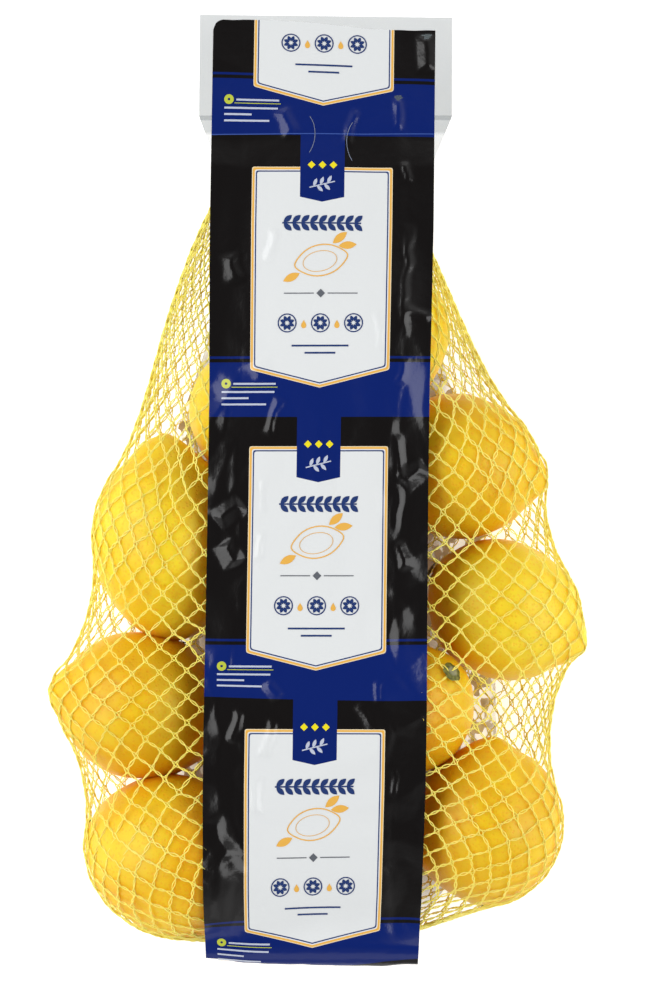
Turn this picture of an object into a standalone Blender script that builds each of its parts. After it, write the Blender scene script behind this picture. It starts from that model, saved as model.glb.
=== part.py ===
"""Net pack of twelve lemons lying on its back: the filled net as one solid, with the printed
front film and the clear back film as thin solids over and under it. Lengths are in millimetres
here and become metres when the meshes are made. The pack's length runs along +Y, the sealed
header end at +Y, and the printed side faces +Z."""

import math

import bmesh
import bpy
import numpy as np

MM = 0.001
GAP = 0.4             # clearance between neighbouring solids
CREST = 0.25          # extra clearance where a flat facet crosses a crest
FILM = 0.4            # thickness of each film
NET = 1.2             # net and knots over a lemon
FLOOR = FILM + GAP    # lowest level of the net

NIPPLE = 5.0          # height of the pointed tip of a lemon
NECK = 1.5            # height of the collar at the stem end

# x, y, lift above the lowest layer, length, girth, heading of the tip, rise of the tip
LEMONS = [
    (-64.0, -22.0, 0.0, 88.0, 59.0, 96.0, 0.0),
    (-75.0, -91.5, 0.0, 76.0, 62.0, 171.0, 0.0),
    (-58.5, -155.5, 0.0, 86.0, 67.0, -17.0, 0.0),
    (58.0, 12.0, 0.0, 74.0, 59.0, -4.0, 0.0),
    (79.5, -50.0, 0.0, 72.0, 57.0, -27.0, 0.0),
    (71.0, -139.0, 0.0, 75.0, 62.0, 88.0, 0.0),
    (-26.0, 39.0, 0.0, 74.0, 57.0, 100.0, 20.0),
    (27.0, 64.0, 12.0, 72.0, 56.0, 75.0, 10.0),
    (5.0, -27.0, 4.0, 76.0, 58.0, 170.0, 0.0),
    (38.0, -90.0, 12.0, 68.0, 55.0, 222.0, -40.0),
    (-12.5, -105.5, 3.0, 68.0, 56.0, 80.0, 10.0),
    (12.0, -157.0, 3.0, 64.0, 54.0, 60.0, 30.0),
]

# the net tube: its two flat sealed ends and the middle line between them
NET_START = (-2.7, -195.0, 38.0)
NET_END = (-8.0, 160.0, 51.0)
START_HALF_WIDTH = 44.0
END_HALF_WIDTH = 34.0
END_THICKNESS = 1.2
BELLY_HEIGHT = 31.0
BELLY_BLEND = 0.16
AROUND = 48
ALONG = 40
LENGTHWISE = 0.6      # share of the pull along the tube, the rest is around it
PASSES = 900

# the films
FRONT_HALF_WIDTH = 46.5
BACK_HALF_WIDTH = 53.0
LEAN = 0.0132         # sideways drift of the films per unit of length
FRONT_BOTTOM = (-198.5, 38.6)
FRONT_TOP = (197.0, 46.0)
BACK_TOP = 199.5
HEADER_ROWS = 5
ACROSS = 12


def tip_direction(heading, rise):
    h, r = math.radians(heading), math.radians(rise)
    return np.array([math.cos(h) * math.cos(r), math.sin(h) * math.cos(r), math.sin(r)])


def lemon_radius(cosine, half_length, half_girth):
    """Distance from the centre to the peel at an angle from the tip."""
    sine2 = 1.0 - cosine ** 2
    body = 1.0 / np.sqrt(cosine ** 2 / half_length ** 2 + sine2 / half_girth ** 2)
    angle = np.arccos(np.clip(cosine, -1.0, 1.0))
    tip = NIPPLE * np.exp(-((angle / 0.26) ** 2))
    collar = NECK * np.exp(-(((math.pi - angle) / 0.35) ** 2))
    return body + tip + collar


def lemon_shapes():
    shapes = []
    for x, y, lift, length, girth, heading, rise in LEMONS:
        half_length = (length - NIPPLE - NECK) / 2
        half_girth = girth / 2
        r = math.radians(rise)
        half_height = math.hypot(half_length * math.sin(r), half_girth * math.cos(r))
        centre = np.array([x, y, FLOOR + NET + half_height + lift])
        shapes.append((centre, tip_direction(heading, rise), half_length, half_girth))
    return shapes


def depth_in_lemons(points, margin):
    """How far each point is inside the nearest lemon grown by margin; negative outside."""
    deepest = np.full(points.shape[:-1], -1e9)
    for centre, tip, half_length, half_girth in lemon_shapes():
        ray = points - centre
        away = np.linalg.norm(ray, axis=-1) + 1e-9
        reach = lemon_radius((ray @ tip) / away, half_length, half_girth)
        deepest = np.maximum(deepest, reach + margin - away)
    return deepest


def end_ring(end, half_width, angles):
    return np.stack([
        end[0] + half_width * np.cos(angles),
        np.full_like(angles, end[1]),
        end[2] + END_THICKNESS / 2 * np.sin(angles),
    ], axis=1)


def net_rings():
    """Rings of the net pulled tight over the lemons, each ring in a plane of constant y."""
    angles = np.arange(AROUND) * 2 * math.pi / AROUND
    share = np.linspace(0.0, 1.0, ALONG)
    share = share - 0.5 * np.sin(2 * math.pi * share) / (2 * math.pi)
    start, end = np.array(NET_START), np.array(NET_END)
    middle = start + (end - start) * share[:, None]
    blend = np.clip(np.minimum(share, 1.0 - share) / BELLY_BLEND, 0.0, 1.0)
    blend = blend * blend * (3.0 - 2.0 * blend)
    middle[:, 2] = middle[:, 2] * (1.0 - blend) + BELLY_HEIGHT * blend

    wide, high = 113.0, 34.0
    spoke = np.stack([wide * np.cos(angles), 0 * angles, high * np.sin(angles)], axis=1)
    weight = spoke * np.array([1 / wide ** 2, 0.0, 1 / high ** 2])
    norm = (spoke * weight).sum(axis=-1)

    steps = np.linspace(0.0, 1.6, 161)
    probes = middle[:, None, None, :] + steps[None, None, :, None] * spoke[None, :, None, :]
    depth = depth_in_lemons(probes, NET)
    least = np.zeros((ALONG, AROUND))
    for j in range(ALONG):
        for i in range(AROUND):
            inside = np.nonzero(depth[j, i] > 0)[0]
            if len(inside):
                k = min(inside[-1], len(steps) - 2)
                a, b = depth[j, i, k], depth[j, i, k + 1]
                least[j, i] = steps[k] + (steps[k + 1] - steps[k]) * a / (a - b)
    most = np.full((ALONG, AROUND), 9.0)
    below = np.sin(angles) < -1e-6
    most[:, below] = (middle[:, 2:3] - FLOOR) / (high * -np.sin(angles[below]))[None, :]

    reach = np.full((ALONG, AROUND), 1.3)
    first = end_ring(NET_START, START_HALF_WIDTH, angles)
    last = end_ring(NET_END, END_HALF_WIDTH, angles)
    for _ in range(PASSES):
        rings = middle[:, None, :] + reach[:, :, None] * spoke[None]
        rings[0], rings[-1] = first, last
        along = 0.5 * (rings[2:] + rings[:-2])
        around = 0.5 * (np.roll(rings, 1, 1) + np.roll(rings, -1, 1))[1:-1]
        pulled = LENGTHWISE * along + (1.0 - LENGTHWISE) * around - middle[1:-1, None, :]
        drawn = (pulled * weight[None]).sum(axis=-1) / norm[None]
        reach[1:-1] = np.minimum(np.maximum(drawn, least[1:-1]), most[1:-1])
    rings = middle[:, None, :] + reach[:, :, None] * spoke[None]
    rings[0], rings[-1] = first, last
    return rings


def net_profile(ring, side):
    """The upper (side 1) or lower (side -1) edge of a ring as x and z, x increasing."""
    half = AROUND // 2
    order = range(half, -1, -1) if side > 0 else range(half, AROUND + 1)
    points = np.array([ring[i % AROUND] for i in order])
    points = points[np.argsort(points[:, 0])]
    return points[:, 0], points[:, 2]


def band_columns(y, half_width):
    return np.linspace(-half_width, half_width, ACROSS + 1) + 0.3 + LEAN * y


def front_rows(rings):
    """Lower face of the front film: drawn tight over the net and held at its two ends."""
    ys = [FRONT_BOTTOM[0]] + [ring[0, 1] for ring in rings]
    ys += list(np.linspace(rings[-1, 0, 1], FRONT_TOP[0], HEADER_ROWS + 1)[1:])
    ys = np.array(ys)
    least = np.full((len(ys), ACROSS + 1), -1e9)
    for j, ring in enumerate(rings):
        x, z = net_profile(ring, 1)
        columns = band_columns(ys[j + 1], FRONT_HALF_WIDTH)
        near = np.linspace(-0.6, 0.6, 7)[:, None] * (2 * FRONT_HALF_WIDTH / ACROSS)
        crest = np.interp(columns[None, :] + near, x, z, left=-1e9, right=-1e9)
        least[j + 1] = crest.max(axis=0) + GAP + CREST
    level = np.interp(ys, [FRONT_BOTTOM[0], -150, 60, FRONT_TOP[0]],
                      [FRONT_BOTTOM[1], 75, 75, FRONT_TOP[1]])
    z = np.repeat(level[:, None], ACROSS + 1, axis=1)
    back, fore = ys[1:-1] - ys[:-2], ys[2:] - ys[1:-1]
    for _ in range(4000):
        along = (z[:-2] * fore[:, None] + z[2:] * back[:, None]) / (back + fore)[:, None]
        side = np.pad(z[1:-1], ((0, 0), (1, 1)), mode="reflect", reflect_type="odd")
        side = 0.5 * (side[:, :-2] + side[:, 2:])
        z[1:-1] = np.maximum(0.9 * along + 0.1 * side, least[1:-1])
    x = np.array([band_columns(y, FRONT_HALF_WIDTH) for y in ys])
    return np.stack([x, np.repeat(ys[:, None], ACROSS + 1, axis=1), z], axis=-1)


def back_rows(rings, front):
    """Upper face of the back film: flat under the lemons and lifted to both sealed ends."""
    ys = [FRONT_BOTTOM[0]] + [ring[0, 1] for ring in rings]
    ys += list(np.linspace(rings[-1, 0, 1], BACK_TOP, HEADER_ROWS + 1)[1:])
    ys = np.array(ys)
    z = np.full((len(ys), ACROSS + 1), FILM)
    under = np.empty_like(z)
    for j, y in enumerate(ys):
        row = [np.interp(y, front[:, 0, 1], front[:, i, 2]) for i in range(ACROSS + 1)]
        row = [2 * row[0] - row[1]] + row + [2 * row[-1] - row[-2]]
        reach = FRONT_HALF_WIDTH * (1 + 2 / ACROSS)
        places = np.linspace(-reach, reach, ACROSS + 3) + 0.3 + LEAN * y
        under[j] = np.interp(band_columns(y, BACK_HALF_WIDTH), places, row) - GAP - CREST
    z[0] = under[0]
    z[-HEADER_ROWS:] = under[-HEADER_ROWS:]
    for j, ring in enumerate(rings):
        x, low = net_profile(ring, -1)
        columns = band_columns(ys[j + 1], BACK_HALF_WIDTH)
        near = np.linspace(-1.0, 1.0, 9)[:, None] * (2 * BACK_HALF_WIDTH / ACROSS)
        z[j + 1] = np.interp(columns[None, :] + near, x, low).min(axis=0)
        ahead = min(j + 1, ALONG - 1)
        behind = max(j - 1, 0)
        rise = rings[ahead, :, 2].min() - rings[behind, :, 2].min()
        run = rings[ahead, 0, 1] - rings[behind, 0, 1]
        z[j + 1] -= (GAP + CREST) * min(math.hypot(1.0, rise / run), 4.0)
    z[1:-HEADER_ROWS] = np.maximum(z[1:-HEADER_ROWS], FILM)
    flat = (ys > -140.0) & (ys < 40.0)
    z[flat] = FILM
    z = np.minimum(z, under)
    x = np.array([band_columns(y, BACK_HALF_WIDTH) for y in ys])
    return np.stack([x, np.repeat(ys[:, None], ACROSS + 1, axis=1), z], axis=-1)


def mesh_object(name, points, faces, collection, material):
    mesh = bpy.data.meshes.new(name)
    mesh.from_pydata([tuple(float(v) * MM for v in p) for p in points], [], faces)
    bm = bmesh.new()
    bm.from_mesh(mesh)
    bmesh.ops.recalc_face_normals(bm, faces=bm.faces[:])
    bmesh.ops.triangulate(bm, faces=bm.faces[:])
    bm.to_mesh(mesh)
    bm.free()
    mesh.materials.append(material)
    ob = bpy.data.objects.new(name, mesh)
    collection.objects.link(ob)
    return ob


def net_solid(rings):
    points = rings.reshape(-1, 3)
    faces = []
    for j in range(ALONG - 1):
        for i in range(AROUND):
            k = (i + 1) % AROUND
            a, b = j * AROUND, (j + 1) * AROUND
            faces.append((a + i, a + k, b + k, b + i))
    faces.append(tuple(range(AROUND)))
    faces.append(tuple(range((ALONG - 1) * AROUND, ALONG * AROUND)))
    return points, faces


def film_solid(face, thickness):
    """A film from one face of it: the other face lies thickness along the vertical."""
    rows, columns = face.shape[:2]
    other = face.copy()
    other[:, :, 2] += thickness
    points = np.concatenate([face.reshape(-1, 3), other.reshape(-1, 3)])
    top = rows * columns
    faces = []
    for j in range(rows - 1):
        for i in range(columns - 1):
            a = j * columns + i
            faces.append((a, a + 1, a + columns + 1, a + columns))
            faces.append((top + a, top + a + columns, top + a + columns + 1, top + a + 1))
    rim = [j * columns for j in range(rows)]
    rim += [(rows - 1) * columns + i for i in range(1, columns)]
    rim += [j * columns + columns - 1 for j in range(rows - 2, -1, -1)]
    rim += list(range(columns - 2, 0, -1))
    for a, b in zip(rim, rim[1:] + rim[:1]):
        faces.append((a, b, top + b, top + a))
    return points, faces


def coat(name, colour, roughness):
    material = bpy.data.materials.new(name)
    material.use_nodes = True
    shader = material.node_tree.nodes["Principled BSDF"]
    shader.inputs["Base Color"].default_value = (*colour, 1.0)
    shader.inputs["Roughness"].default_value = roughness
    return material


def main():
    for ob in list(bpy.data.objects):
        bpy.data.objects.remove(ob, do_unlink=True)
    collection = bpy.data.collections.new("lemon_net_pack")
    bpy.context.scene.collection.children.link(collection)

    rings = net_rings()
    front = front_rows(rings)
    back = back_rows(rings, front)
    solids = {
        "net_bag": net_solid(rings),
        "label_band": film_solid(front, FILM),
        "back_band": film_solid(back, -FILM),
    }
    every = np.concatenate([points for points, _ in solids.values()])
    low, high = every.min(axis=0), every.max(axis=0)
    print("before centring", low.round(2), high.round(2))
    shift = np.array([-(low[0] + high[0]) / 2, -(low[1] + high[1]) / 2, -low[2]])
    coats = {
        "net_bag": coat("lemon_yellow", (0.86, 0.55, 0.04), 0.45),
        "label_band": coat("printed_film", (0.02, 0.02, 0.03), 0.2),
        "back_band": coat("clear_film", (0.80, 0.82, 0.83), 0.15),
    }
    for name, (points, faces) in solids.items():
        mesh_object(name, points + shift, faces, collection, coats[name])


main()
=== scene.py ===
# %% [markdown]
# # A net of lemons
# This lesson builds a shop pack of lemons that lies on its back: twelve lemons, a knitted yellow
# net, a long printed film along the front, a clear film along the back, and the flat header where
# the two films are sealed. The solids that stand for it in physics are loaded first. They are
# hidden one by one as the pieces that show are made round them, in the same metres and axes.

# %% Load the solids and note their box
import math

import bmesh
import bpy
import numpy as np
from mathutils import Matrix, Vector, noise
from mathutils.bvhtree import BVHTree


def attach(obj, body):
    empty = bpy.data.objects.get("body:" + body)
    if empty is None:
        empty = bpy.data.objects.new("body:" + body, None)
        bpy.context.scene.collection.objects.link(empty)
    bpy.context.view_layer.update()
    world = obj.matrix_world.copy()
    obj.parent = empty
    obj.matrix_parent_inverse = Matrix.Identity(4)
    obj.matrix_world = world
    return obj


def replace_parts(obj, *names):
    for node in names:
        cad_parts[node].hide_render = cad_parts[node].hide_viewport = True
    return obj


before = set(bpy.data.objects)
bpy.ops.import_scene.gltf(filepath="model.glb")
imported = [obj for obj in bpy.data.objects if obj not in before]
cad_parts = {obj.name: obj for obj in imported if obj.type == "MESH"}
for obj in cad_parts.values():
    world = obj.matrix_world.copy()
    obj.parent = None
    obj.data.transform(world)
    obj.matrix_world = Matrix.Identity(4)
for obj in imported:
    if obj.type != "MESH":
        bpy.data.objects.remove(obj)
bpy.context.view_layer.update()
MM = 0.001

# %% [markdown]
# Most measures below are in millimetres, because a pack is that size, and become metres when a
# mesh is made. The origin is the middle of the pack's footprint, +Y runs towards the header and
# +Z comes up out of the printed front. Two helpers are enough for every piece: one turns a bmesh
# into an object at the origin, and one adds nodes to a material with less typing.


# %% Helpers for objects and materials
def to_object(name, bm, materials, smooth=True):
    """A finished bmesh, in millimetres, as an object in metres that rides on the pack."""
    bmesh.ops.scale(bm, vec=(MM, MM, MM), verts=bm.verts[:])
    for face in bm.faces:
        face.smooth = smooth
    mesh = bpy.data.meshes.new(name)
    bm.to_mesh(mesh)
    bm.free()
    for material in materials:
        mesh.materials.append(material)
    piece = bpy.data.objects.new(name, mesh)
    bpy.context.scene.collection.objects.link(piece)
    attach(piece, "root")
    print(name, len(mesh.polygons), "faces")
    return piece


def new_material(name):
    material = bpy.data.materials.new(name)
    material.use_nodes = True
    shader = material.node_tree.nodes["Principled BSDF"]
    return material, material.node_tree, shader


def node(tree, kind, settings=None, **inputs):
    """Add a node; inputs are values or sockets, with _ standing for a space in a socket name."""
    made = tree.nodes.new(kind)
    for key, value in (settings or {}).items():
        setattr(made, key, value)
    for key, value in inputs.items():
        index = int(key[1:]) if key[0] == "i" and key[1:].isdigit() else key.replace("_", " ")
        socket = made.inputs[index]
        if isinstance(value, bpy.types.NodeSocket):
            tree.links.new(value, socket)
        else:
            socket.default_value = value
    return made


def math_node(tree, operation, first, second=0.0, clamp=False):
    made = node(tree, "ShaderNodeMath", {"operation": operation, "use_clamp": clamp},
                i0=first, i1=second)
    return made.outputs[0]


def blend_colours(tree, amount, first, second, kind="MIX"):
    made = node(tree, "ShaderNodeMix", {"data_type": "RGBA", "blend_type": kind})
    for index, value in ((0, amount), (6, first), (7, second)):
        if isinstance(value, bpy.types.NodeSocket):
            tree.links.new(value, made.inputs[index])
        else:
            made.inputs[index].default_value = value
    return made.outputs[2]


def remap(tree, value, low, high, to_low=0.0, to_high=1.0):
    made = node(tree, "ShaderNodeMapRange", {"clamp": True}, Value=value)
    made.inputs["From Min"].default_value = low
    made.inputs["From Max"].default_value = high
    made.inputs["To Min"].default_value = to_low
    made.inputs["To Max"].default_value = to_high
    return made.outputs[0]


# %% [markdown]
# ## Where the lemons lie
# A lemon is close to an ellipsoid with a pointed nipple at one end and a low collar round the
# stem at the other. Describing it by its radius at each angle from the tip has a second use: the
# same short formula tells how deep any point is inside a lemon, which is what the net and the
# films need to be pulled tight over them. The six outer lemons lie on the floor of the pack, and
# some of the inner six are pushed up between them.

# %% The twelve lemons and their formula
# name: x, y, lift, length, girth, heading of the tip, rise of the tip, paleness (own tone, raised on
# some lemons as painted light), scar
LEMONS = {
    "lemon_left_top": (-63.2, -22.0, 0.0, 88.0, 63.5, 94.0, 3.0, 1.25, 0.0),
    "lemon_left_middle": (-75.0, -91.5, 0.0, 76.0, 62.0, 167.0, 10.0, 0.4, 1.0),
    "lemon_left_bottom": (-59.3, -155.0, 0.0, 87.0, 68.0, -17.0, 24.0, 0.45, 0.3),
    "lemon_right_top": (59.6, 10.3, 0.0, 73.4, 61.5, -8.0, 10.0, 0.55, 0.5),
    "lemon_right_middle": (79.2, -50.8, 0.0, 72.0, 59.0, -27.0, 0.0, 1.3, 0.4),
    "lemon_right_bottom": (71.8, -141.6, 0.0, 75.0, 63.5, 88.0, 20.0, 0.5, 0.0),
    "lemon_inner_top_left": (-25.8, 32.5, 0.0, 66.0, 57.0, 100.0, 20.0, 1.5, 0.3),
    "lemon_inner_top_right": (27.0, 64.0, 12.0, 72.0, 56.0, 75.0, 10.0, 1.2, 0.3),
    "lemon_inner_middle": (7.5, -27.0, 4.0, 74.0, 58.0, 170.0, 0.0, 0.3, 0.6),
    "lemon_inner_stem_up": (37.3, -93.0, 12.0, 68.0, 55.0, 222.0, -40.0, 0.6, 0.5),
    "lemon_inner_low_left": (-12.5, -105.5, 3.0, 68.0, 56.0, 80.0, 10.0, 0.4, 0.3),
    "lemon_inner_bottom": (12.0, -157.0, 3.0, 64.0, 54.0, 60.0, 30.0, 0.5, 0.4),
}
CENTRING = np.array([-0.1, -0.5, 0.0])
LOWEST_PEEL = 2.0
NIPPLE = 5.0
COLLAR = 1.5


def tip_direction(heading, rise):
    h, r = math.radians(heading), math.radians(rise)
    return np.array([math.cos(h) * math.cos(r), math.sin(h) * math.cos(r), math.sin(r)])


def peel_radius(cosine, half_length, half_girth):
    """Distance from the centre to the peel, from the cosine of the angle to the tip."""
    sine2 = 1.0 - cosine ** 2
    body = 1.0 / np.sqrt(cosine ** 2 / half_length ** 2 + sine2 / half_girth ** 2)
    angle = np.arccos(np.clip(cosine, -1.0, 1.0))
    tip = NIPPLE * np.exp(-((angle / 0.26) ** 2))
    collar = COLLAR * np.exp(-(((math.pi - angle) / 0.35) ** 2))
    return body + tip + collar


def settle(x, y, lift, length, girth, heading, rise, *looks):
    half_length = (length - NIPPLE - COLLAR) / 2
    half_girth = girth / 2
    tilt = math.radians(rise)
    half_height = math.hypot(half_length * math.sin(tilt), half_girth * math.cos(tilt))
    centre = np.array([x, y, LOWEST_PEEL + half_height + lift]) + CENTRING
    return centre, tip_direction(heading, rise), half_length, half_girth


settled = {name: settle(*facts) for name, facts in LEMONS.items()}
print(len(settled), "lemons, highest centre", max(c[2] for c, _, _, _ in settled.values()))

# %% [markdown]
# ## The peel's shape
# An icosphere spreads its points evenly, so the peel has no pinched poles. Each point is moved
# out to the formula's radius. Real peel is never that regular, so two slow noises swell and
# dent the body, a faint furrow runs round the nipple, and a few shallow ridges run towards the
# stem. The pores are too small for this mesh and are left to the material. Where a lemon is close
# to its neighbours or under the films, the material paints shade onto the peel. The painted shade
# is darker and a deeper yellow, and stands for the shade there and the light thrown off other
# peel. So each point also keeps how much painted shade it gets.


# %% How much painted shade each point of a lemon gets
def painted_shade_amount(name, places):
    """Painted shade, from 0 in the open to 1 where a place touches another lemon or lies under the
    films.
    """
    closest = np.zeros(len(places))
    for other, (centre, tip, half_length, half_girth) in settled.items():
        if other == name:
            continue
        ray = places - centre
        away = np.linalg.norm(ray, axis=1)
        gap = away - peel_radius((ray @ tip) / away, half_length, half_girth)
        closest = np.maximum(closest, np.exp(-np.maximum(gap, 0.0) / 6.0))
    under_film = np.clip((62.0 - np.abs(places[:, 0])) / 18.0, 0.0, 1.0)
    under_film *= np.clip((25.0 - places[:, 1]) / 25.0, 0.0, 1.0)
    return np.maximum(closest, 0.75 * under_film)


# %% Shape one lemon
def lemon_mesh(name, seed, centre, tip, half_length, half_girth):
    bm = bmesh.new()
    bmesh.ops.create_icosphere(bm, subdivisions=5, radius=1.0)
    side = np.cross(tip, [0.0, 0.0, 1.0])
    side /= np.linalg.norm(side)
    up = np.cross(side, tip)
    rays = np.array([v.co for v in bm.verts], dtype=float)
    rays /= np.linalg.norm(rays, axis=1)[:, None]
    cosine = rays[:, 2]
    reach = peel_radius(cosine, half_length, half_girth)
    around = np.arctan2(rays[:, 1], rays[:, 0])
    angle = np.arccos(np.clip(cosine, -1.0, 1.0))
    reach -= 0.5 * np.exp(-(((angle - 0.42) / 0.12) ** 2))
    ridge = np.exp(-(((math.pi - angle) / 0.7) ** 2))
    reach += 0.25 * ridge * np.cos(around * 7 + seed)
    lean = 0.6 * np.exp(-((angle / 0.35) ** 2)) * np.cos(around + seed * 2.4)
    along = bm.verts.layers.float.new("tip_to_stem")
    painted_shade_layer = bm.verts.layers.float.new("painted_shade_amount")
    scar = LEMONS[name][8]
    for v, ray, r, c in zip(bm.verts, rays, reach + lean, cosine):
        place = Vector(ray) * 1.3 + Vector((seed * 7.3, seed * 3.1, 0.0))
        r += 1.1 * noise.noise(place) + 0.35 * noise.noise(place * 3.0)
        v.co = Vector(centre + r * (ray[0] * side + ray[1] * up + ray[2] * tip))
        v[along] = c - 0.0008 * (1.0 - scar)
    # painted shade: how close each point is to other lemons and to the films, kept for the material
    for v, amount in zip(bm.verts, painted_shade_amount(name, np.array([v.co for v in bm.verts]))):
        v[painted_shade_layer] = amount
    return bm


# %% [markdown]
# ## The stem button
# Each fruit keeps a small dry star where it was cut from the twig, greenish grey and five-lobed.
# It starts as a disc of rings, drawn out into lobes by a cosine round the rim and dished so that
# it sits over the collar.


# %% Add the stem button to a lemon's mesh
def add_stem_button(bm, seed, centre, tip, half_length, half_girth):
    heart = bm.verts.layers.float.new("heart")
    made = bmesh.ops.create_circle(bm, cap_ends=True, segments=30, radius=1.0)
    rim = made["verts"]
    disc = [f for f in bm.faces if all(v in set(rim) for v in f.verts)]
    rings = []
    for inward in (0.18, 0.22, 0.22):
        bmesh.ops.inset_individual(bm, faces=disc, thickness=inward, use_even_offset=False)
        rings.append(disc[0].verts[:])
    verts = set(rim)
    for ring in rings:
        verts.update(ring)
    faces = {f for v in verts for f in v.link_faces if all(w in verts for w in f.verts)}
    for face in faces:
        face.material_index = 1
    side = np.cross(tip, [0.0, 0.0, 1.0])
    side /= np.linalg.norm(side)
    up = np.cross(side, tip)
    stem_end = float(peel_radius(np.array([-1.0]), half_length, half_girth)[0])
    for v in verts:
        radius = math.hypot(v.co.x, v.co.y)
        v[heart] = max(0.0, 1.0 - radius / 0.6)
        turn = math.atan2(v.co.y, v.co.x)
        lobe = 1.0 + 0.05 * math.cos(5 * turn + seed) * radius
        width = 4.4 * radius * lobe
        height = stem_end + 1.9 - 1.1 * radius ** 2 + 0.15 * math.sin(seed + 9 * turn) * radius
        if radius < 0.45:
            height += 0.9 * (0.45 - radius) / 0.45
        out = width * (math.cos(turn) * side + math.sin(turn) * up) - height * tip
        v.co = Vector(centre + out)
    return bm


# %% [markdown]
# ## The peel's finish
# Lemon peel is waxy, a little see-through and full of oil pores. A cell pattern makes the pores,
# both as a slight darkening and as pits in the bump, and they are what breaks its wide highlight
# into speckle. Slow noise shifts the yellow between pale and deep. Light that enters comes out a
# little farther on, which subsurface scattering gives. The tip ends in a small brown scar.


# %% Peel and stem materials
def peel_finish():
    material, tree, shader = new_material("lemon_peel")
    place = node(tree, "ShaderNodeTexCoord").outputs["Object"]
    slow = node(tree, "ShaderNodeTexNoise", Vector=place, Scale=38.0, Detail=3.0).outputs[0]
    fine = node(tree, "ShaderNodeTexNoise", Vector=place, Scale=320.0, Detail=3.0).outputs[0]
    # each lemon's paleness: partly its own tone, partly painted light that brightens lemons the lamps
    # leave dark
    pale = node(tree, "ShaderNodeAttribute", {"attribute_name": "paleness_and_painted_light"}).outputs["Fac"]
    amount = math_node(tree, "ADD", math_node(tree, "MULTIPLY", slow, 0.7),
                       math_node(tree, "MULTIPLY", pale, 0.35))
    ramp = node(tree, "ShaderNodeValToRGB", Fac=amount)
    stops = ramp.color_ramp.elements
    stops[0].position, stops[0].color = 0.25, (0.79, 0.435, 0.003, 1)
    stops[1].position, stops[1].color = 0.75, (0.90, 0.66, 0.018, 1)
    stops.new(1.0).color = (0.94, 0.75, 0.05, 1)
    pores = node(tree, "ShaderNodeTexVoronoi", Vector=place, Scale=620.0)
    pit = remap(tree, pores.outputs["Distance"], 0.05, 0.45)
    dark = remap(tree, pit, 0.0, 1.0, 0.80, 1.0)
    shade = node(tree, "ShaderNodeCombineColor", i0=1.0, i1=dark, i2=dark).outputs[0]
    colour = blend_colours(tree, 0.8, ramp.outputs[0], shade, "MULTIPLY")
    # painted shade: the peel turns darker and more orange near other lemons and under the films, for
    # shade and bounced light
    painted_shade = node(tree, "ShaderNodeAttribute", {"attribute_name": "painted_shade_amount"}).outputs["Fac"]
    colour = blend_colours(tree, painted_shade, colour, (1.0, 0.68, 0.40, 1), "MULTIPLY")
    specks = node(tree, "ShaderNodeTexVoronoi", Vector=place, Scale=95.0)
    rare = math_node(tree, "GREATER_THAN", node(tree, "ShaderNodeSeparateColor",
                     Color=specks.outputs["Color"]).outputs[0], 0.82)
    speck = math_node(tree, "MULTIPLY", remap(tree, specks.outputs["Distance"], 0.085, 0.03), rare)
    colour = blend_colours(tree, math_node(tree, "MULTIPLY", speck, 0.65), colour,
                           (0.22, 0.11, 0.02, 1))
    along = node(tree, "ShaderNodeAttribute", {"attribute_name": "tip_to_stem"}).outputs["Fac"]
    ragged = math_node(tree, "MULTIPLY", math_node(tree, "SUBTRACT", fine, 0.5), 0.0014)
    scar = remap(tree, math_node(tree, "ADD", along, ragged), 0.9989, 0.9994)
    colour = blend_colours(tree, scar, colour, (0.20, 0.10, 0.025, 1))
    tree.links.new(colour, shader.inputs["Base Color"])
    tree.links.new(remap(tree, fine, 0.3, 0.7, 0.36, 0.5), shader.inputs["Roughness"])
    height = math_node(tree, "ADD", math_node(tree, "MULTIPLY", pit, 0.7),
                       math_node(tree, "MULTIPLY", fine, 0.9))
    bump = node(tree, "ShaderNodeBump", Height=height, Strength=0.55, Distance=0.00028)
    tree.links.new(bump.outputs[0], shader.inputs["Normal"])
    shader.inputs["Specular IOR Level"].default_value = 0.3
    shader.inputs["Subsurface Weight"].default_value = 0.7
    shader.inputs["Subsurface Radius"].default_value = (1.0, 0.5, 0.08)
    shader.inputs["Subsurface Scale"].default_value = 0.014
    return material


def stem_finish():
    material, tree, shader = new_material("stem_button")
    place = node(tree, "ShaderNodeTexCoord").outputs["Object"]
    mottle = node(tree, "ShaderNodeTexNoise", Vector=place, Scale=700.0, Detail=4.0).outputs[0]
    colour = blend_colours(tree, remap(tree, mottle, 0.35, 0.65), (0.065, 0.068, 0.009, 1),
                           (0.20, 0.195, 0.03, 1))
    heart = node(tree, "ShaderNodeAttribute", {"attribute_name": "heart"}).outputs["Fac"]
    colour = blend_colours(tree, heart, colour, (0.55, 0.52, 0.36, 1))
    tree.links.new(colour, shader.inputs["Base Color"])
    bump = node(tree, "ShaderNodeBump", Height=mottle, Strength=0.8, Distance=0.0003)
    tree.links.new(bump.outputs[0], shader.inputs["Normal"])
    shader.inputs["Roughness"].default_value = 0.75
    return material


peel = peel_finish()
stem_green = stem_finish()

# %% Make the twelve lemons
lemon_pieces = []
for seed, (name, shape) in enumerate(settled.items()):
    bm = lemon_mesh(name, seed, *shape)
    add_stem_button(bm, seed, *shape)
    piece = to_object(name, bm, [peel, stem_green])
    # paleness per lemon: partly its own tone, partly painted light on lemons the lamps leave dark
    tint = piece.data.attributes.new("paleness_and_painted_light", "FLOAT", "POINT")
    tint.data.foreach_set("value", [LEMONS[name][7]] * len(piece.data.vertices))
    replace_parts(piece, "net_bag")
    lemon_pieces.append(piece)

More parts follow.
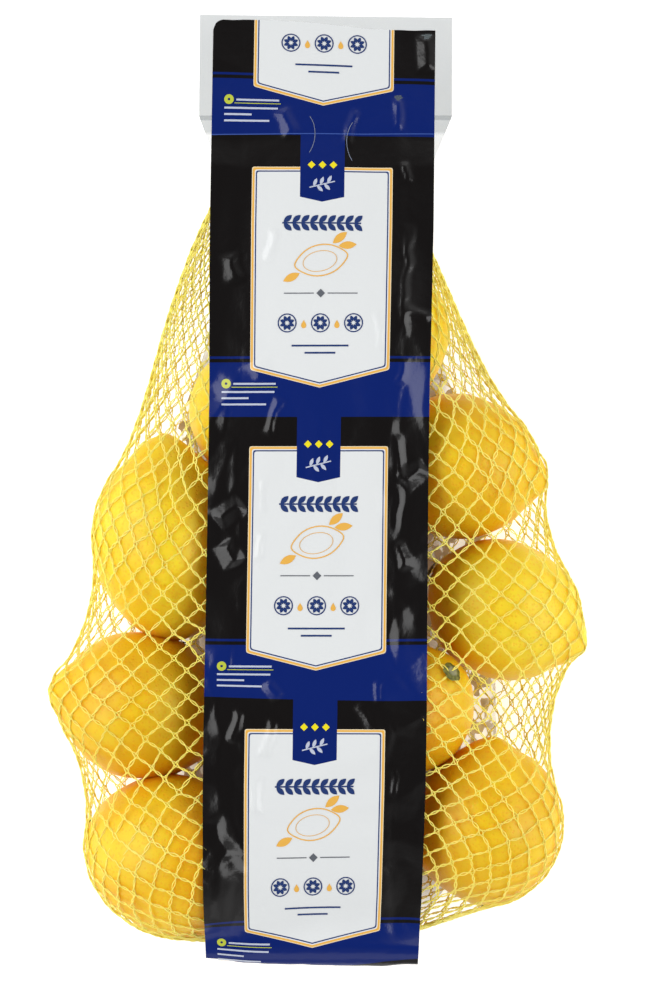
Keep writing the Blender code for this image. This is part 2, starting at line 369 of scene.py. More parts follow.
# %% [markdown]
# ## The net, as a lattice that is pulled tight
# The net is a knitted tube, and its cells are diamonds whose four sides keep their length while
# the cell opens wide over the lemons or closes up where the tube narrows. That is what gives a
# net its look, so the lattice is solved as such: its knots start as a loose tube round the fruit,
# and are then moved a little at a time. Each pass draws the tube in, puts every side back to its
# length, lifts knots out of the lemons, and holds the two ends where the films are sealed.

# %% Measures of the lattice and its two sealed ends
CELLS = 44
ROWS = 63
SIDE = 7.95
KNOT_HEIGHT = 0.75
NET_FLOOR = 0.85
LOW_SEAL = (-2.7, -192.0, 45.0, 43.5)
HIGH_SEAL = (-3.0, 160.0, 52.0, 24.0)
# bunched places: x, lean, y, half length, half width, strength
GATHERS = ((-62.0, 0.30, -6.0, 22.0, 13.0, 0.035), (70.0, -0.30, 22.0, 20.0, 12.0, 0.03))


def sealed_ring(seal, angles):
    """Knots spread evenly along a flat seal, half on its upper and half on its lower side."""
    x, y, z, half_width = seal
    turn = (angles + math.pi) % (2 * math.pi) - math.pi
    across = 1.0 - 2.0 * np.abs(turn) / math.pi
    side = 0.3 * np.sign(turn)
    return np.stack([x + half_width * across, y + 0 * turn, z + side], axis=-1) + CENTRING


def loose_tube():
    share = np.linspace(0.0, 1.0, ROWS)[:, None]
    odd = (np.arange(ROWS) % 2)[:, None]
    angles = 2 * math.pi * (np.arange(CELLS)[None, :] + 0.5 * odd) / CELLS
    low, high = np.array(LOW_SEAL), np.array(HIGH_SEAL)
    x, y = (low[i] + (high[i] - low[i]) * share for i in (0, 1))
    full = np.clip(np.minimum(share, 1.0 - share) * 14.0, 0.0, 1.0)
    wide = 40.0 + 80.0 * full
    tall = 1.0 + 44.0 * full
    middle = 45.0 - 5.0 * full
    knots = np.stack([x + wide * np.cos(angles), y + 0 * angles,
                      middle + tall * np.sin(angles)], axis=-1) + CENTRING
    return knots, angles


# %% [markdown]
# Every knot has four sides. Alternate rows are turned by half a cell, so the two sides that lean
# right from one kind of row join knots of the same number, and the other two join neighbours.


# %% Pull the lattice tight over the lemons
def push_out(points, margin):
    """Move points that are inside a grown lemon straight out from its centre."""
    for centre, tip, half_length, half_girth in settled.values():
        ray = points - centre
        away = np.linalg.norm(ray, axis=-1) + 1e-9
        deep = peel_radius((ray @ tip) / away, half_length, half_girth) + margin - away
        points += ray * (np.maximum(deep, 0.0) / away)[..., None]


def mean_of_neighbours(knots):
    below, above = knots[:-2], knots[2:]
    odd = (np.arange(1, ROWS - 1) % 2 == 1)[:, None, None]
    beside_below = np.where(odd, np.roll(below, -1, 1), np.roll(below, 1, 1))
    beside_above = np.where(odd, np.roll(above, -1, 1), np.roll(above, 1, 1))
    return 0.25 * (below + above + beside_below + beside_above)


def keep_sides(first, second, shift, own):
    """Move both ends of one class of sides so that none is too long or much too short."""
    partner = np.roll(second, shift, 1)
    way = partner - first
    length = np.linalg.norm(way, axis=-1, keepdims=True) + 1e-9
    excess = np.maximum(length - own, 0.0) + 0.3 * np.minimum(length - 0.85 * own, 0.0)
    move = 0.5 * excess * way / length
    first += move
    second[:] = np.roll(partner - move, -shift, 1)


def gather(knots):
    """Bunch the net up a little where it was pulled together, by moving knots across the pack."""
    for x, lean, y, reach, width, strength in GATHERS:
        away = knots[..., 0] - x - lean * (knots[..., 1] - y)
        near = np.exp(-((away / width) ** 2) - ((knots[..., 1] - y) / reach) ** 2)
        near = near * (knots[..., 2] > 45.0)
        knots[..., 0] -= strength * near * away


def pull_tight(passes):
    knots, angles = loose_tube()
    low, high = sealed_ring(LOW_SEAL, angles[0]), sealed_ring(HIGH_SEAL, angles[-1])
    uneven = np.random.default_rng(5)
    own = [SIDE * uneven.uniform(0.91, 1.09, (ROWS // 2, CELLS, 1)) for _ in range(4)]
    for step in range(passes):
        pull = 0.30 if step < passes - 40 else 0.12
        knots[1:-1] += pull * (mean_of_neighbours(knots) - knots[1:-1])
        for _ in range(3):
            knots[0], knots[-1] = low, high
            keep_sides(knots[0:-1:2], knots[1::2], 0, own[0])
            keep_sides(knots[0:-1:2], knots[1::2], 1, own[1])
            keep_sides(knots[1:-1:2], knots[2::2], 0, own[2])
            keep_sides(knots[1:-1:2], knots[2::2], -1, own[3])
        gather(knots)
        push_out(knots, KNOT_HEIGHT)
        knots[..., 2] = np.maximum(knots[..., 2], NET_FLOOR)
    knots[0], knots[-1] = low, high
    return knots


knots = pull_tight(420)
print("lattice", knots.shape[:2], "knots from", np.round(knots.min((0, 1)), 1).tolist(),
      "to", np.round(knots.max((0, 1)), 1).tolist())

# %% [markdown]
# Each slanting line of the lattice is knitted from two thin yarns. They lie side by side with a
# slit between them along a side of a cell, cross on both sides of a knot, and part again round
# it, where the four yarns that meet leave a tiny diamond open. A smooth curve through the knots
# of each line gives the course. It is eased so that it runs lengthwise at the knots and slants
# most between them, which rounds the cells, and a wave of two turns a side swings the yarns of a
# pair apart and across. Yarns are left out where the printed film will cover them.

# %% The course of each yarn
STEPS = 6
EASE = 0.25
YARN_RADIUS = 0.265
KNOT_PARTING = 0.60
SIDE_PARTING = 0.42
FILM_LEAN = 0.0132
COVERED = 43.5


def film_middle(y):
    return 0.3 + FILM_LEAN * y


def smooth_course(values):
    """Catmull-Rom through rows of values, STEPS samples from each row to the next."""
    padded = np.concatenate([2 * values[:1] - values[1:2], values, 2 * values[-1:] - values[-2:-1]])
    share = np.linspace(0.0, 1.0, STEPS, endpoint=False)[None, :, None]
    p, q, r, s = (padded[i:len(values) - 1 + i, None] for i in range(4))
    course = q + 0.5 * share * (r - p + share * (2 * p - 5 * q + 4 * r - s
                                                 + share * (3 * (q - r) + s - p)))
    return np.concatenate([course.reshape(-1, values.shape[1]), values[-1:]])


def knot_normals():
    across = np.roll(knots, -1, 1) - np.roll(knots, 1, 1)
    rows = np.arange(ROWS)
    along = knots[np.minimum(rows + 2, ROWS - 1 - (rows + ROWS - 1) % 2)]
    along = along - knots[np.maximum(rows - 2, rows % 2)]
    normals = np.cross(across, along)
    return -normals / (np.linalg.norm(normals, axis=-1, keepdims=True) + 1e-9)


def unit(vectors):
    return vectors / (np.linalg.norm(vectors, axis=-1, keepdims=True) + 1e-9)


def yarn_pair(start, family, normals, arounds, jitter):
    """The two yarns of one slanting line; family is +1 or -1 for its direction of turn."""
    rows = np.arange(ROWS)
    columns = start + (rows // 2 if family > 0 else -((rows + 1) // 2))
    course = smooth_course(knots[rows, columns % CELLS])
    outward = unit(smooth_course(normals[rows, columns % CELLS]))
    around = unit(smooth_course(arounds[rows, columns % CELLS]))
    slant = np.sum(np.gradient(course, axis=0) * around, axis=1) * STEPS
    ease = EASE * slant * np.sin(2 * math.pi * np.arange(len(course)) / STEPS) / (2 * math.pi)
    course -= around * ease[:, None]
    sideways = unit(np.cross(outward, np.gradient(course, axis=0)))
    place = np.arange(len(course)) / STEPS
    swing = np.cos(math.pi * place)
    parting = np.cos(2 * math.pi * place)
    parting *= np.where(parting > 0.0, KNOT_PARTING, SIDE_PARTING)
    parting = parting * np.interp(place, rows, jitter.uniform(0.5, 1.5, ROWS))
    over = family * 0.2 * swing ** 2
    pair = []
    for side in (-1.0, 1.0):
        height = over + side * 0.22 * np.sin(2 * math.pi * place)
        wander = np.interp(place, rows, jitter.uniform(-0.22, 0.22, ROWS))
        yarn = course + outward * height[:, None]
        yarn += sideways * (side * parting + wander)[:, None]
        yarn[:, 2] = np.maximum(yarn[:, 2], YARN_RADIUS + 0.3)
        pair.append(yarn)
    return pair


def uncovered_runs(yarn):
    """Cut a yarn wherever the printed film lies over it."""
    above = yarn[:, 2] > 40.0
    under_film = above & (np.abs(yarn[:, 0] - film_middle(yarn[:, 1])) < COVERED)
    runs, run = [], []
    for point, hidden in zip(yarn, under_film):
        if not hidden:
            run.append(point)
        elif run:
            runs.append(run)
            run = []
    runs.append(run)
    return [one for one in runs if len(one) > 2]


# %% [markdown]
# The plastic of the yarns is a clear yellow that lets some light through. Paler and deeper
# stretches come from a slow noise along the net.


# %% The yellow plastic of the yarns
def yarn_finish():
    material, tree, shader = new_material("yellow_yarn")
    place = node(tree, "ShaderNodeTexCoord").outputs["Object"]
    drift = node(tree, "ShaderNodeTexNoise", Vector=place, Scale=55.0, Detail=3.0).outputs[0]
    tone = remap(tree, drift, 0.3, 0.7)
    colour = blend_colours(tree, tone, (0.96, 0.775, 0.11, 1), (1.0, 0.87, 0.20, 1))
    tree.links.new(colour, shader.inputs["Base Color"])
    shader.inputs["Roughness"].default_value = 0.38
    shader.inputs["Subsurface Weight"].default_value = 0.3
    shader.inputs["Subsurface Radius"].default_value = (1.0, 0.7, 0.2)
    shader.inputs["Subsurface Scale"].default_value = 0.0012
    return material


# %% Knit the yarns into eight pieces
def knit(name, yarns, material):
    curve = bpy.data.curves.new(name, "CURVE")
    curve.dimensions = "3D"
    curve.bevel_depth = YARN_RADIUS * MM
    curve.bevel_resolution = 0
    curve.use_fill_caps = True
    curve.materials.append(material)
    for run in yarns:
        spline = curve.splines.new("POLY")
        spline.points.add(len(run) - 1)
        points = np.concatenate([np.array(run) * MM, np.ones((len(run), 1))], axis=1)
        spline.points.foreach_set("co", points.ravel())
        spline.use_smooth = True
    piece = bpy.data.objects.new(name, curve)
    bpy.context.scene.collection.objects.link(piece)
    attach(piece, "root")
    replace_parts(piece, "net_bag")
    print(name, len(yarns), "runs", sum(len(run) for run in yarns), "points")


yellow_yarn = yarn_finish()
normals = knot_normals()
arounds = unit(np.roll(knots, -1, 1) - np.roll(knots, 1, 1))
jitter = np.random.default_rng(11)
for family, leaning in ((1, "right"), (-1, "left")):
    for quarter in range(4):
        yarns = []
        for start in range(quarter * CELLS // 4, (quarter + 1) * CELLS // 4):
            for yarn in yarn_pair(start, family, normals, arounds, jitter):
                yarns += uncovered_runs(yarn)
        knit(f"net_yarns_{leaning}_{quarter + 1}", yarns, yellow_yarn)

# %% [markdown]
# ## How the front film lies
# The printed film is a long strip that is sealed to the net at both ends and drawn tight over
# the fruit. Lengthwise it bridges the dips between the lemons and gives way to them only a
# little, and crosswise it follows the round of the net. So its height is worked out line by
# line: the height of the net below is found with rays, a tight string is laid over that from end
# to end, and the string is let down part of the way towards the net.

# %% Measures of the printed film
FILM_HALF = 46.85
FILM_CLEAR = 0.8
SAG = 0.33
SEAL_LINE = 156.0
TOP_EDGE = (199.8, 46.0)
FOOT_START = -191.5
FOOT = ((-191.5, 58.0), (-194.4, 57.3), (-197.0, 56.0), (-199.3, 54.3), (-201.3, 52.0),
        (-202.8, 49.2))
STRETCH = ((-199.0, 44.5), (-170.0, 45.7), (-125.0, 46.5), (-100.0, 46.5), (0.0, 46.0),
           (40.0, 46.0), (110.0, 46.85), (200.0, 46.85))


def half_width_at(y):
    ys, widths = zip(*STRETCH)
    return np.interp(y, ys, widths)


# %% Find the net's height under the film
def lattice_tree():
    cells = []
    for k in range(ROWS - 2):
        for i in range(CELLS):
            right, left = (i + 1, i) if k % 2 else (i, i - 1)
            cells.append([k * CELLS + i, (k + 1) * CELLS + right % CELLS,
                          (k + 2) * CELLS + i, (k + 1) * CELLS + left % CELLS])
    return BVHTree.FromPolygons([Vector(k) for row in knots for k in row], cells)


def top_of_net(tree, x, y):
    hit = tree.ray_cast(Vector((x, y, 120.0)), Vector((0.0, 0.0, -1.0)))[0]
    return hit.z + FILM_CLEAR if hit else -1.0


def tight_string(ys, heights):
    """Upper hull of the heights along one line, and the height of that hull at every y."""
    hull = []
    for y, z in zip(ys, heights):
        while len(hull) > 1:
            (ya, za), (yb, zb) = hull[-2:]
            if (zb - za) * (y - ya) > (z - za) * (yb - ya):
                break
            hull.pop()
        hull.append((y, z))
    return np.interp(ys, *zip(*hull))


def soften(field, passes):
    """Average each height with its neighbours, keeping the first and last rows."""
    for _ in range(passes):
        along = field.copy()
        along[1:-1] = 0.5 * field[1:-1] + 0.25 * (field[:-2] + field[2:])
        wide = np.pad(along, ((0, 0), (1, 1)), mode="edge")
        field = 0.5 * along + 0.25 * (wide[:, :-2] + wide[:, 2:])
    return field


# %% Lay the film
ACROSS = np.linspace(-1.0, 1.0, 39)
rows_y = np.linspace(FOOT_START, TOP_EDGE[0], 196)
tree = lattice_tree()
below = np.array([[top_of_net(tree, film_middle(y) + s * half_width_at(y) + CENTRING[0], y)
                   for s in ACROSS] for y in rows_y])
seal_rows = np.abs(rows_y - SEAL_LINE) < 3.0
below[seal_rows] = np.maximum(below[seal_rows], 53.0)
below[0], below[-1] = FOOT[0][1], TOP_EDGE[1]
strings = np.stack([tight_string(rows_y, below[:, c]) for c in range(len(ACROSS))], axis=1)
gap = np.where(below > 0.0, strings - below, 0.0)
over_fruit = np.clip((15.0 - rows_y) / 30.0, 0.1, 1.0)[:, None]
edge_pull = SAG + 0.45 * over_fruit * np.clip((np.abs(ACROSS) - 0.55) / 0.4, 0.0, 1.0)
film_height = soften(strings - edge_pull * np.minimum(soften(gap, 12), 9.0), 6)
film_height = soften(np.maximum(film_height, below), 2)
bridging = np.clip((rows_y - 40.0) / 25.0, 0.0, 1.0) * np.clip((146.0 - rows_y) / 10.0, 0.0, 1.0)
level = soften(strings - 0.12 * np.minimum(gap, 9.0), 20) + 0.7
level += 1.6 * np.clip((np.abs(ACROSS) - 0.5) / 0.5, 0.0, 1.0)
film_height += bridging[:, None] * (level - film_height)
taut = np.stack([tight_string(ACROSS, row) for row in film_height])
near_foot = 0.55 * np.clip((-110.0 - rows_y) / 20.0, 0.0, 1.0)[:, None]
film_height += near_foot * (taut - film_height)
print("film lies between", round(float(film_height.min()), 1), "and",
      round(float(film_height.max()), 1))

# %% [markdown]
# A film keeps its length when it bends, so the print has to be measured along the bent film and
# not along the floor. Each line of heights is therefore turned into a table of places against
# the distance walked along it. At its lower end the film also rolls over the edge of the pack.
# Film is never fed quite straight or evenly, so the header is drawn out a little and the print
# runs slightly aslant near both ends.

# %% Measure along the film
ANCHOR = 43.0
foot_y = np.array([y for y, z in FOOT[:0:-1]])
foot_z = np.array([z for y, z in FOOT[:0:-1]])
line_y = np.concatenate([foot_y, rows_y])
WALK = np.arange(-212.0, 200.1, 1.0)
HEADER_STRETCH = 2.2
# where the print runs aslant: place along the film, over what length, lift of the right edge,
# and lift of both edges
TILTS = ((172.0, 18.0, -1.2, 0.0), (-88.0, 8.0, -0.9, 0.3), (-180.0, 14.0, 0.7, -2.9))


def walk_table(column):
    z = np.concatenate([foot_z, film_height[:, column]])
    steps = np.hypot(np.diff(line_y), np.diff(z))
    walked = np.concatenate([[0.0], np.cumsum(steps)])
    walked += ANCHOR - np.interp(ANCHOR, line_y, walked)
    return np.interp(WALK, walked, line_y), np.interp(WALK, walked, z)


tables = [walk_table(column) for column in range(len(ACROSS))]
walk_y = np.stack([t[0] for t in tables], axis=1)
walk_z = np.stack([t[1] for t in tables], axis=1)
walk_y += HEADER_STRETCH * np.clip((WALK[:, None] - 138.0) / 14.0, 0.0, 1.0)
for along, reach, tilt, bow in TILTS:
    lift = tilt * ACROSS + bow * ACROSS ** 2
    walk_y += lift * np.exp(-(((WALK[:, None] - along) / reach) ** 2))


def sample(table, row, column):
    """Value between the entries of a table, at fractions of a row and of a column."""
    r = np.clip(np.floor(row).astype(int), 0, table.shape[0] - 2)
    c = np.clip(np.floor(column).astype(int), 0, table.shape[1] - 2)
    fr, fc = row - r, column - c
    if table.ndim == 3:
        fr, fc = fr[..., None], fc[..., None]
    low = table[r, c] * (1 - fc) + table[r, c + 1] * fc
    high = table[r + 1, c] * (1 - fc) + table[r + 1, c + 1] * fc
    return low * (1 - fr) + high * fr


# %% [markdown]
# ## Creases
# Thin film never lies smooth. It buckles into flat facets that meet in sharp folds, and each
# facet mirrors its own piece of the room. A zigzag wave along some direction gives a row of
# facets, and a few such waves, each with its own direction and width, cross to make the rest. A
# slow noise bends every wave and lets it fade out and come back. The long creases that run down
# both sides of the stiff printed panel are added as valleys.

# %% The families of folds: turn in degrees, width, height, share that stays on the panel
FOLDS = ((6.0, 36.0, 0.85, 0.5), (84.0, 48.0, 0.80, 0.5), (-36.0, 33.0, 0.80, 0.35),
         (41.0, 27.0, 0.65, 0.35), (-14.0, 17.0, 0.40, 0.1), (66.0, 19.0, 0.38, 0.15))
CALM = 0.22

# %% Single pleats: across, along, half width, half length, turn in degrees, height
PLEATS = ((-37.2, 92.4, 5.0, 6.5, 15.0, 1.3), (-38.0, -9.7, 5.5, 6.5, -50.0, 2.1),
          (-37.0, -27.3, 6.0, 5.5, 30.0, 2.0), (-34.0, -100.0, 2.8, 7.5, -12.0, 1.2),
          (-39.0, -146.0, 6.0, 10.0, 25.0, 1.5), (35.0, 133.6, 2.6, 4.5, 10.0, 1.0),
          (35.5, 87.0, 2.4, 25.0, -2.0, 1.05), (41.0, 73.0, 3.0, 6.0, 70.0, 1.2),
          (34.6, 12.6, 2.4, 11.0, 5.0, 1.1), (40.5, 6.0, 5.0, 6.0, -50.0, 1.8),
          (33.8, -8.0, 1.9, 9.5, -5.0, 0.85), (36.0, -28.0, 3.8, 6.5, 15.0, 1.5),
          (33.6, -122.6, 1.9, 7.0, 0.0, 0.9), (43.2, 184.0, 4.5, 8.0, 4.0, 1.6),
          (-26.5, 48.3, 8.0, 5.0, 20.0, 1.3), (34.8, 49.0, 2.6, 6.0, -8.0, 1.1),
          (-17.8, -84.4, 3.2, 4.5, 40.0, 1.2), (26.7, -84.4, 2.1, 5.0, 0.0, 0.9),
          (31.3, 157.5, 2.4, 7.5, 0.0, 1.0), (11.5, 151.5, 2.6, 8.0, -14.0, 1.0),
          (-15.0, 153.0, 4.5, 6.0, 20.0, 1.3), (-19.0, 30.0, 3.0, 9.0, -20.0, 1.2),
          (-24.0, -3.0, 2.2, 8.0, 4.0, 0.8), (-24.5, -24.0, 2.6, 6.5, -8.0, 0.9),
          (26.0, -6.0, 1.8, 6.5, 6.0, 0.65), (-19.5, -104.0, 2.8, 9.0, -16.0, 1.0),
          (-24.5, -128.0, 3.0, 8.5, 5.0, 1.0), (22.0, -95.0, 2.4, 7.0, 30.0, 0.7),
          (-21.0, 102.0, 2.6, 7.5, -12.0, 0.8), (24.5, 66.0, 2.2, 9.0, 5.0, 0.7))


def smooth_step(value, low, high):
    t = min(max((value - low) / (high - low), 0.0), 1.0)
    return t * t * (3.0 - 2.0 * t)


def pleat_height(u, v):
    """Short roofs of film: two flat slopes that meet in a ridge and run out at both ends."""
    u += 1.6 * noise.noise(Vector((u / 7.0, v / 9.0, 60.0)))
    height = 0.0
    for across, along, half_width, half_length, turn, tall in PLEATS:
        if abs(u - across) + abs(v - along) > 1.6 * (half_width + half_length):
            continue
        c, s = math.cos(math.radians(turn)), math.sin(math.radians(turn))
        a = abs((u - across) * c + (v - along) * s) / half_width
        b = abs((v - along) * c - (u - across) * s) / half_length
        height += tall * max(0.0, min(1.0 - a, 2.5 * (1.0 - b)))
    return height


def crease_height(u, v):
    side = 1.0 if u > 0 else -1.0
    margin = smooth_step(abs(u), 25.0, 34.0)
    height = 0.0
    for seed, (turn, width, tall, on_panel) in enumerate(FOLDS):
        c, s = math.cos(math.radians(turn)), math.sin(math.radians(turn))
        bend = noise.noise(Vector((u / 38.0, v / 46.0, seed * 5.1)))
        wave = (u * c + v * s) / width + 0.37 * seed + 0.9 * bend
        zigzag = 1.0 - 4.0 * abs(wave - math.floor(wave + 0.5))
        present = noise.noise(Vector((u / 30.0 + 7.0, v / 36.0, seed * 3.7)))
        present = smooth_step(present, -0.28, 0.30)
        height += tall * present * zigzag * (on_panel + (1.0 - on_panel) * margin)
    wander = 2.6 * noise.noise(Vector((v / 30.0, side * 4.0, 1.5)))
    depth = 0.5 + 1.3 * noise.noise(Vector((v / 24.0, side * 9.0, 3.0)))
    height -= max(depth, 0.0) * math.exp(-abs(abs(u) - 34.5 - wander) / 3.5)
    height *= 1.0 - (1.0 - CALM) * smooth_step(v, 30.0, 62.0) - 0.35 * smooth_step(-v, 105.0, 125.0)
    return height + pleat_height(u, v)


# %% The film as a surface that things can be put on
STEP_V = 1.0
grid_u = np.linspace(-FILM_HALF, FILM_HALF, 93)
grid_v = np.arange(-212.0, 200.0, STEP_V)


def lay(u, v):
    """Place in the pack of points of the smooth film, from distances across and along it."""
    row, column = v - WALK[0], (u / FILM_HALF + 1.0) * 0.5 * (len(ACROSS) - 1)
    y, z = sample(walk_y, row, column), sample(walk_z, row, column)
    x = film_middle(y) + u / FILM_HALF * half_width_at(y) + CENTRING[0]
    return np.stack([x, y, z], axis=-1)


creases = np.array([[crease_height(u, v) for u in grid_u] for v in grid_v])
creases *= np.clip((grid_v + 200.0) / 10.0, 0.1, 1.0)[:, None]
film_surface = lay(*np.meshgrid(grid_u, grid_v))
film_surface[..., 2] += creases
lowest = np.array([[top_of_net(tree, x, y) for x, y, z in row] for row in film_surface])
film_surface[..., 2] = np.maximum(film_surface[..., 2], lowest - 0.1)
slope_v, slope_u = np.gradient(film_surface, axis=(0, 1))
film_normals = unit(np.cross(slope_u, slope_v))


def film_point(u, v, lift=0.0):
    """Points of the creased film, raised off it by a lift."""
    row = (np.asarray(v, dtype=float) - grid_v[0]) / STEP_V
    column = (np.asarray(u, dtype=float) / FILM_HALF + 1.0) * 0.5 * (len(grid_u) - 1)
    return sample(film_surface, row, column) + lift * sample(film_normals, row, column)


print("film surface", film_surface.shape[:2], "creases from", round(float(creases.min()), 2),
      "to", round(float(creases.max()), 2))

# %% [markdown]
# ## The printed film
# The sheet starts as a flat grid measured in millimetres. Its two cut ends are shaped first,
# while it is flat, and each point keeps its distances across and along as attributes before it is
# laid over the fruit. The print is then drawn by the material from those two numbers.

# %% Cut and lay the printed film
FILM_THICKNESS = 0.1
CORNER = 4.5


def top_edge(u):
    edge = 197.0 - 3.4 * smooth_step(u, -26.0, 34.0) + 0.35 * noise.noise(Vector((u / 7.0, 2.0, 0)))
    inward = CORNER - (u + FILM_HALF)
    if inward > 0.0:
        edge -= CORNER - math.sqrt(max(CORNER ** 2 - inward ** 2, 0.0))
    return edge


def bottom_edge(u):
    return -202.8 - 1.8 * u / FILM_HALF + 0.5 * noise.noise(Vector((u / 9.0, 8.0, 0)))


film_bm = bmesh.new()
bmesh.ops.create_grid(film_bm, x_segments=92, y_segments=400, size=1.0)
across_layer = film_bm.verts.layers.float.new("across")
along_layer = film_bm.verts.layers.float.new("along")
flat_u = np.array([v.co.x for v in film_bm.verts]) * FILM_HALF
share = np.array([v.co.y for v in film_bm.verts]) * 0.5 + 0.5
low = np.array([bottom_edge(u) for u in flat_u])
high = np.array([top_edge(u) for u in flat_u])
flat_v = low + (high - low) * share
for vert, u, v, place in zip(film_bm.verts, flat_u, flat_v, film_point(flat_u, flat_v)):
    vert[across_layer] = u
    vert[along_layer] = v
    vert.co = Vector(place)

# %% [markdown]
# ## The print
# The design repeats every 118 mm along the strip: a white panel with a gold and navy border that
# comes to a point, a blue band behind the point, and a blue tab that hangs into the next panel.
# Each field is a simple shape, so its edge can be written as a signed distance, negative inside.
# Thin lines of the border are then just narrow ranges of the panel's distance.

# %% Colours of the print
BLACK_INK = (0.0075, 0.0065, 0.0065, 1)
BLUE_INK = (0.0045, 0.0165, 0.142, 1)
PALE_BLUE_INK = (0.05, 0.10, 0.36, 1)
WHITE_INK = (0.74, 0.76, 0.765, 1)
CREAM_INK = (0.86, 0.72, 0.48, 1)
GOLD_INK = (0.80, 0.44, 0.085, 1)
NAVY_INK = (0.022, 0.045, 0.16, 1)
REPEAT = 118.0
FIRST_TIP = 160.2
PANEL_HALF = 29.5
PANEL_TALL = 93.5
BAND_ABOVE = 10.6
BAND_BELOW = 12.2
FOOT_SLANT = 4.8
TAB_HALF = 9.3
TAB_FOOT = 78.5
SEAL_BAR = 148.6


# %% Draw the fields of the print with distances
def under(tree, distance, edge):
    """One where a distance is under an edge, with a change a twentieth of a millimetre wide."""
    return remap(tree, distance, edge + 0.05, edge - 0.05)


def print_colours(tree):
    def maths(operation, first, second=0.0):
        return math_node(tree, operation, first, second)

    def field(amount, ink):
        return blend_colours(tree, amount, colour, ink)

    across = node(tree, "ShaderNodeAttribute", {"attribute_name": "across"}).outputs["Fac"]
    v = node(tree, "ShaderNodeAttribute", {"attribute_name": "along"}).outputs["Fac"]
    u = maths("ABSOLUTE", across)
    w = maths("MODULO", maths("ADD", v, 4 * REPEAT - FIRST_TIP), REPEAT)
    colour = blend_colours(tree, 0.0, BLACK_INK, BLACK_INK)
    stripe = maths("ABSOLUTE", maths("SUBTRACT", w, BAND_ABOVE + 2.0))
    colour = field(under(tree, stripe, 0.5), BLUE_INK)
    colour = field(under(tree, w, BAND_ABOVE), BLUE_INK)
    aslant = maths("MULTIPLY", remap(tree, v, -190.0, -197.0), remap(tree, across, -5.0, 32.0))
    below = maths("ADD", maths("SUBTRACT", REPEAT, w), maths("MULTIPLY", aslant, FOOT_SLANT))
    colour = field(under(tree, below, BAND_BELOW), BLUE_INK)
    slant = maths("SUBTRACT", maths("MULTIPLY", u, 0.243), maths("MULTIPLY", w, 0.970))
    box = node(tree, "ShaderNodeMath", {"operation": "SMOOTH_MAX"}, i2=1.6,
               i0=maths("SUBTRACT", u, PANEL_HALF), i1=maths("SUBTRACT", w, PANEL_TALL))
    panel = node(tree, "ShaderNodeMath", {"operation": "SMOOTH_MAX"}, i2=1.6,
                 i0=box.outputs[0], i1=slant).outputs[0]
    for edge, ink in ((0.0, CREAM_INK), (-0.3, GOLD_INK), (-1.15, WHITE_INK),
                      (-1.6, NAVY_INK), (-2.15, WHITE_INK)):
        colour = field(under(tree, panel, edge), ink)
    tab_foot = maths("SUBTRACT", maths("ADD", maths("MULTIPLY", u, 0.226), TAB_FOOT), w)
    tab = maths("MAXIMUM", maths("SUBTRACT", u, TAB_HALF), tab_foot)
    colour = field(under(tree, tab, 0.0), BLUE_INK)
    pressed = maths("ADD", SEAL_BAR, maths("MULTIPLY", across, 0.013))
    pale_line = under(tree, maths("ABSOLUTE", maths("SUBTRACT", v, pressed)), 0.16)
    return field(pale_line, PALE_BLUE_INK)


def printed_finish():
    material, tree, shader = new_material("printed_film")
    tree.links.new(print_colours(tree), shader.inputs["Base Color"])
    film_gloss(tree, shader)
    return material


def film_gloss(tree, shader):
    """The shine and the finest wrinkles that all inks on the film share."""
    place = node(tree, "ShaderNodeTexCoord").outputs["Object"]
    wrinkle = node(tree, "ShaderNodeTexNoise", Vector=place, Scale=260.0, Detail=3.0).outputs[0]
    bump = node(tree, "ShaderNodeBump", Height=wrinkle, Strength=0.6, Distance=0.00025)
    tree.links.new(bump.outputs[0], shader.inputs["Normal"])
    shader.inputs["Roughness"].default_value = 0.17
    shader.inputs["IOR"].default_value = 1.43


# %% Finish the printed film
def thicken(bm, thickness):
    """Give a sheet its thickness downwards, with crisp edges round its rim."""
    bmesh.ops.solidify(bm, geom=bm.faces[:], thickness=thickness)
    bm.normal_update()
    for edge in bm.edges:
        edge.smooth = edge.calc_face_angle(0.0) < math.radians(60.0)


thicken(film_bm, FILM_THICKNESS)
printed_film = to_object("printed_film", film_bm, [printed_finish()])
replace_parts(printed_film, "label_band")

# %% [markdown]
# ## Ornaments on the panel
# The smaller marks of the print are cut from thin ink, each a flat shape made from circles and
# squares. A leaf is a circle whose height is pressed in towards both ends, a ring is a disc with
# its middle taken out, and so on. All shapes of one ink are joined, sliced every two millimetres
# so that they can bend, and then laid on the film just as the film was laid on the fruit.


# %% Flat shapes for the ornaments
def place_shape(made, x, y, turn=0.0):
    c, s = math.cos(turn), math.sin(turn)
    for vert in made:
        vx, vy = vert.co.x, vert.co.y
        vert.co = Vector((x + vx * c - vy * s, y + vx * s + vy * c, 0.0))


def bar(bm, x, y, width, height, turn=0.0):
    made = bmesh.ops.create_grid(bm, x_segments=1, y_segments=1, size=0.5)["verts"]
    bmesh.ops.scale(bm, vec=(width, height, 1.0), verts=made)
    place_shape(made, x, y, turn)


def leaf(bm, x, y, length, width, turn=0.0):
    """A leaf whose stalk end is at x, y and whose tip points along turn."""
    made = bmesh.ops.create_circle(bm, cap_ends=True, segments=20, radius=0.5)["verts"]
    for vert in made:
        pinch = 1.0 - (2.0 * vert.co.x) ** 2
        vert.co = Vector(((vert.co.x + 0.5) * length, vert.co.y * width * math.sqrt(abs(pinch)), 0))
    place_shape(made, x, y, turn)


